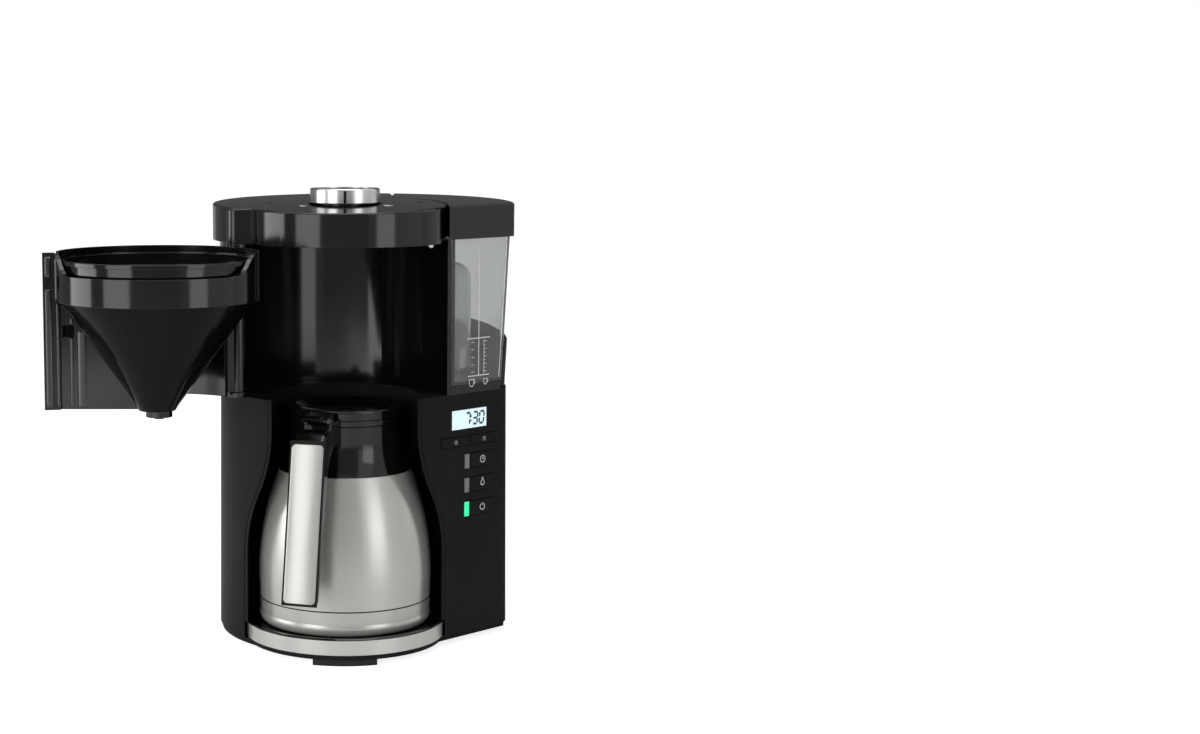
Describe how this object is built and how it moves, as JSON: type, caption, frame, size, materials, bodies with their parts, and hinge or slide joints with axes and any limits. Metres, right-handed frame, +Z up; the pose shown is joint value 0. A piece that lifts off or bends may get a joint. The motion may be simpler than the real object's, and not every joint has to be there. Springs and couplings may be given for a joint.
{
  "type": "drip coffee maker",
  "caption": "Drip coffee maker with swing-out filter holder, lift-out cone, removable water tank, panel keys and steel thermal carafe in a bell-shaped niche.",
  "frame": {"origin": "middle of the footprint with the filter holder swung open, on the standing surface", "axes": "+Z up, +X to the machine's right seen from the front, -Y to the front where the carafe comes out"},
  "size_m": [0.3604, 0.3356, 0.3654],
  "materials": {
    "satin_black": "fine satin moulded plastic",
    "gloss_black": "polished moulded plastic",
    "brushed_steel": "brushed stainless steel",
    "chrome": "polished chrome",
    "clear_tank": "clear moulded plastic",
    "rubber_black": "soft rubber",
    "lcd_window": "lit display window",
    "lcd_back": "display block",
    "board_green": "circuit board",
    "cast_aluminium": "cast",
    "pin_steel": "drawn rod",
    "hose_white": "silicone",
    "light_grey": "translucent light bar, unlit",
    "light_green": "translucent light bar, lit"
  },
  "bodies": {
    "base": {"base_cover": "satin_black", "rubber_feet": "rubber_black", "lower_housing": "satin_black", "niche_liner": "satin_black", "carafe_plate": "gloss_black", "plate_trim": "brushed_steel", "cord_inlet": "rubber_black", "display_window": "lcd_window", "display_module": "lcd_back", "control_board": "board_green", "flow_heater": "cast_aluminium", "thermal_fuse": "pin_steel", "cold_hose": "hose_white", "check_valve": "gloss_black", "riser_tube": "hose_white", "upper_housing": "gloss_black", "brew_head": "gloss_black", "shower_head": "gloss_black", "door_catch": "chrome", "hinge_pin": "pin_steel", "tank_socket": "gloss_black", "socket_seal": "rubber_black", "timer_light": "light_grey", "descale_light": "light_grey", "power_light": "light_green"},
    "holder": {"holder_shell": "gloss_black", "holder_funnel": "gloss_black"},
    "cone": {"filter_cone": "gloss_black", "drip_spring": "pin_steel"},
    "drip_valve": {"drip_plunger": "gloss_black"},
    "knob": {"knob_ring": "chrome", "knob_core": "gloss_black"},
    "tank": {"water_tank": "clear_tank", "tank_hinge_pin": "pin_steel"},
    "tank_valve": {"tank_valve": "gloss_black"},
    "tank_lid": {"tank_lid": "gloss_black"},
    "carafe": {"carafe_body": "brushed_steel", "carafe_base": "brushed_steel", "carafe_flask": "brushed_steel", "carafe_collar": "gloss_black", "handle_core": "gloss_black", "handle_strip": "brushed_steel", "lever_pin": "pin_steel"},
    "carafe_lid": {"carafe_lid": "gloss_black", "lid_seal": "rubber_black"},
    "lever": {"lid_lever": "gloss_black"},
    "hour_key": {"hour_key": "satin_black"},
    "minute_key": {"minute_key": "satin_black"},
    "timer_key": {"timer_key": "satin_black"},
    "descale_key": {"descale_key": "satin_black"},
    "power_key": {"power_key": "satin_black"}
  },
  "joints": [
    {"name": "holder_swing", "type": "hinge", "parent": "base", "child": "holder", "pos_m": [-0.04078, -0.02415, 0.2045], "axis": [0, 0, 1], "range_deg": [0, 146]},
    {"name": "cone_lift", "type": "slide", "parent": "holder", "child": "cone", "axis": [0, 0, -1], "range_m": [-0.15, 0]},
    {"name": "drip_press", "type": "slide", "parent": "cone", "child": "drip_valve", "axis": [0, 0, 1], "range_m": [0, 0.003], "stiffness_N_per_m": 200, "deforming": ["drip_spring"]},
    {"name": "knob_turn", "type": "hinge", "parent": "base", "child": "knob", "pos_m": [0.04322, 0.00085, 0.349], "axis": [0, 0, 1], "range_deg": [-60, 60]},
    {"name": "tank_lift", "type": "slide", "parent": "base", "child": "tank", "axis": [0, 0, 1], "range_m": [0, 0.13]},
    {"name": "tank_valve_lift", "type": "slide", "parent": "tank", "child": "tank_valve", "axis": [0, 0, 1], "range_m": [0, 0.004]},
    {"name": "tank_lid_open", "type": "hinge", "parent": "tank", "child": "tank_lid", "pos_m": [0.1321, 0.14041, 0.3286], "axis": [-0.788, 0.6157, 0], "range_deg": [0, 75]},
    {"name": "carafe_out", "type": "slide", "parent": "base", "child": "carafe", "axis": [0, -0.9781, 0.2079], "range_m": [0, 0.2]},
    {"name": "carafe_lid_turn", "type": "hinge", "parent": "carafe", "child": "carafe_lid", "pos_m": [0.04322, 0.00085, 0.1863], "axis": [0, 0, 1], "range_deg": [0, 60]},
    {"name": "lever_press", "type": "hinge", "parent": "carafe", "child": "lever", "pos_m": [0.02301, -0.05956, 0.189], "axis": [0.9483, -0.3173, 0], "range_deg": [0, 14], "stiffness_Nm_per_rad": 0.05},
    {"name": "hour_press", "type": "slide", "parent": "base", "child": "hour_key", "axis": [-0.682, 0.7314, 0], "range_m": [0, 0.0015], "stiffness_N_per_m": 300},
    {"name": "minute_press", "type": "slide", "parent": "base", "child": "minute_key", "axis": [-0.682, 0.7314, 0], "range_m": [0, 0.0015], "stiffness_N_per_m": 300},
    {"name": "timer_press", "type": "slide", "parent": "base", "child": "timer_key", "axis": [-0.682, 0.7314, 0], "range_m": [0, 0.0015], "stiffness_N_per_m": 300},
    {"name": "descale_press", "type": "slide", "parent": "base", "child": "descale_key", "axis": [-0.682, 0.7314, 0], "range_m": [0, 0.0015], "stiffness_N_per_m": 300},
    {"name": "power_press", "type": "slide", "parent": "base", "child": "power_key", "axis": [-0.682, 0.7314, 0], "range_m": [0, 0.0015], "stiffness_N_per_m": 300}
  ]
}
